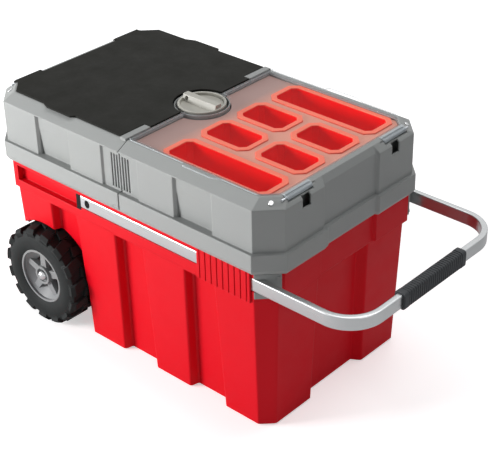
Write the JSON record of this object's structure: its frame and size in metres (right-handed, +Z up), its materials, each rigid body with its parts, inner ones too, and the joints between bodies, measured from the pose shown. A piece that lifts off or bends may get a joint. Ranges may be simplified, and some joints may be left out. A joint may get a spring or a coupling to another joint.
{
  "type": "jobsite storage box",
  "caption": "Rolling storage box: a fluted tub on wheels with a pull-out handle, closed by two sliding trays with hinged lids and a central lock knob.",
  "frame": {"origin": "on the floor, on the tub's flat bottom, under the middle of the closed trays", "axes": "+X along the box from the wheels to the handle, -Y towards the front, +Z up"},
  "size_m": [0.7655, 0.398, 0.4159],
  "materials": {
    "red_moulding": "fine-grained red polypropylene",
    "red_cup": "smooth red polypropylene",
    "tyre_rubber": "dull black rubber",
    "wheel_plastic": "satin grey plastic",
    "black_nylon": "plain black plastic",
    "grey_moulding": "fine-grained grey polypropylene",
    "black_moulding": "grained black polypropylene",
    "clear_moulding": "clear polycarbonate",
    "pale_moulding": "satin warm grey plastic",
    "handle_aluminium": "satin anodised",
    "grip_rubber": "ribbed rubber",
    "bright_metal": "bright plated",
    "plated_steel": "zinc plated"
  },
  "bodies": {
    "base": {"bin": "red_moulding", "front_handle_guide": "grey_moulding", "rear_handle_guide": "grey_moulding", "guide_screws": "plated_steel", "axle": "plated_steel", "axle_caps": "bright_metal", "front_rail": "plated_steel", "rear_rail": "plated_steel", "rail_screws": "plated_steel"},
    "handle": {"handle_tube": "handle_aluminium", "handle_grip": "grip_rubber", "front_handle_slider": "black_nylon", "rear_handle_slider": "black_nylon"},
    "front_wheel": {"front_tyre": "tyre_rubber", "front_rim": "wheel_plastic", "front_bush": "black_nylon"},
    "rear_wheel": {"rear_tyre": "tyre_rubber", "rear_rim": "wheel_plastic", "rear_bush": "black_nylon"},
    "left_tray": {"left_tray": "grey_moulding", "left_front_runner": "plated_steel", "left_rear_runner": "plated_steel", "left_hinge_pins": "plated_steel", "left_corner_studs": "bright_metal", "lock_plate": "grey_moulding", "lock_screws": "plated_steel"},
    "right_tray": {"right_tray": "grey_moulding", "right_front_runner": "plated_steel", "right_rear_runner": "plated_steel", "right_hinge_pins": "plated_steel", "right_corner_studs": "bright_metal", "organizer_deck": "grey_moulding", "front_long_cup": "red_cup", "rear_long_cup": "red_cup", "front_left_cup": "red_cup", "front_right_cup": "red_cup", "rear_left_cup": "red_cup", "rear_right_cup": "red_cup", "lock_striker": "plated_steel"},
    "left_lid": {"black_lid": "black_moulding"},
    "right_lid": {"clear_lid": "clear_moulding"},
    "knob": {"lock_knob": "pale_moulding", "lock_cam": "plated_steel", "cam_screw": "plated_steel"},
    "left_cages": {"left_front_cage": "black_nylon", "left_rear_cage": "black_nylon", "left_front_balls": "plated_steel", "left_rear_balls": "plated_steel"},
    "right_cages": {"right_front_cage": "black_nylon", "right_rear_cage": "black_nylon", "right_front_balls": "plated_steel", "right_rear_balls": "plated_steel"}
  },
  "joints": [
    {"name": "handle_slide", "type": "slide", "parent": "base", "child": "handle", "axis": [1, 0, 0], "range_m": [-0.115, 0]},
    {"name": "front_wheel_spin", "type": "hinge", "parent": "base", "child": "front_wheel", "pos_m": [-0.209, -0.17, 0.089], "axis": [0, 1, 0], "continuous": true},
    {"name": "rear_wheel_spin", "type": "hinge", "parent": "base", "child": "rear_wheel", "pos_m": [-0.209, 0.17, 0.089], "axis": [0, 1, 0], "continuous": true},
    {"name": "left_tray_slide", "type": "slide", "parent": "base", "child": "left_tray", "axis": [-1, 0, 0], "range_m": [0, 0.18]},
    {"name": "right_tray_slide", "type": "slide", "parent": "base", "child": "right_tray", "axis": [1, 0, 0], "range_m": [0, 0.18]},
    {"name": "left_lid_hinge", "type": "hinge", "parent": "left_tray", "child": "left_lid", "pos_m": [-0.292, 0, 0.404], "axis": [0, -1, 0], "range_deg": [0, 105]},
    {"name": "right_lid_hinge", "type": "hinge", "parent": "right_tray", "child": "right_lid", "pos_m": [0.292, 0, 0.404], "axis": [0, 1, 0], "range_deg": [0, 105]},
    {"name": "lock_knob_turn", "type": "hinge", "parent": "left_tray", "child": "knob", "pos_m": [0, 0, 0.4], "axis": [0, 0, 1], "range_deg": [0, 90]},
    {"name": "left_cage_slide", "type": "slide", "parent": "base", "child": "left_cages", "axis": [-1, 0, 0], "range_m": [0, 0.09]},
    {"name": "right_cage_slide", "type": "slide", "parent": "base", "child": "right_cages", "axis": [1, 0, 0], "range_m": [0, 0.09]}
  ],
  "couplings": [
    {"joint": "left_cage_slide", "follows": "left_tray_slide", "ratio": 0.5},
    {"joint": "right_cage_slide", "follows": "right_tray_slide", "ratio": 0.5}
  ]
}
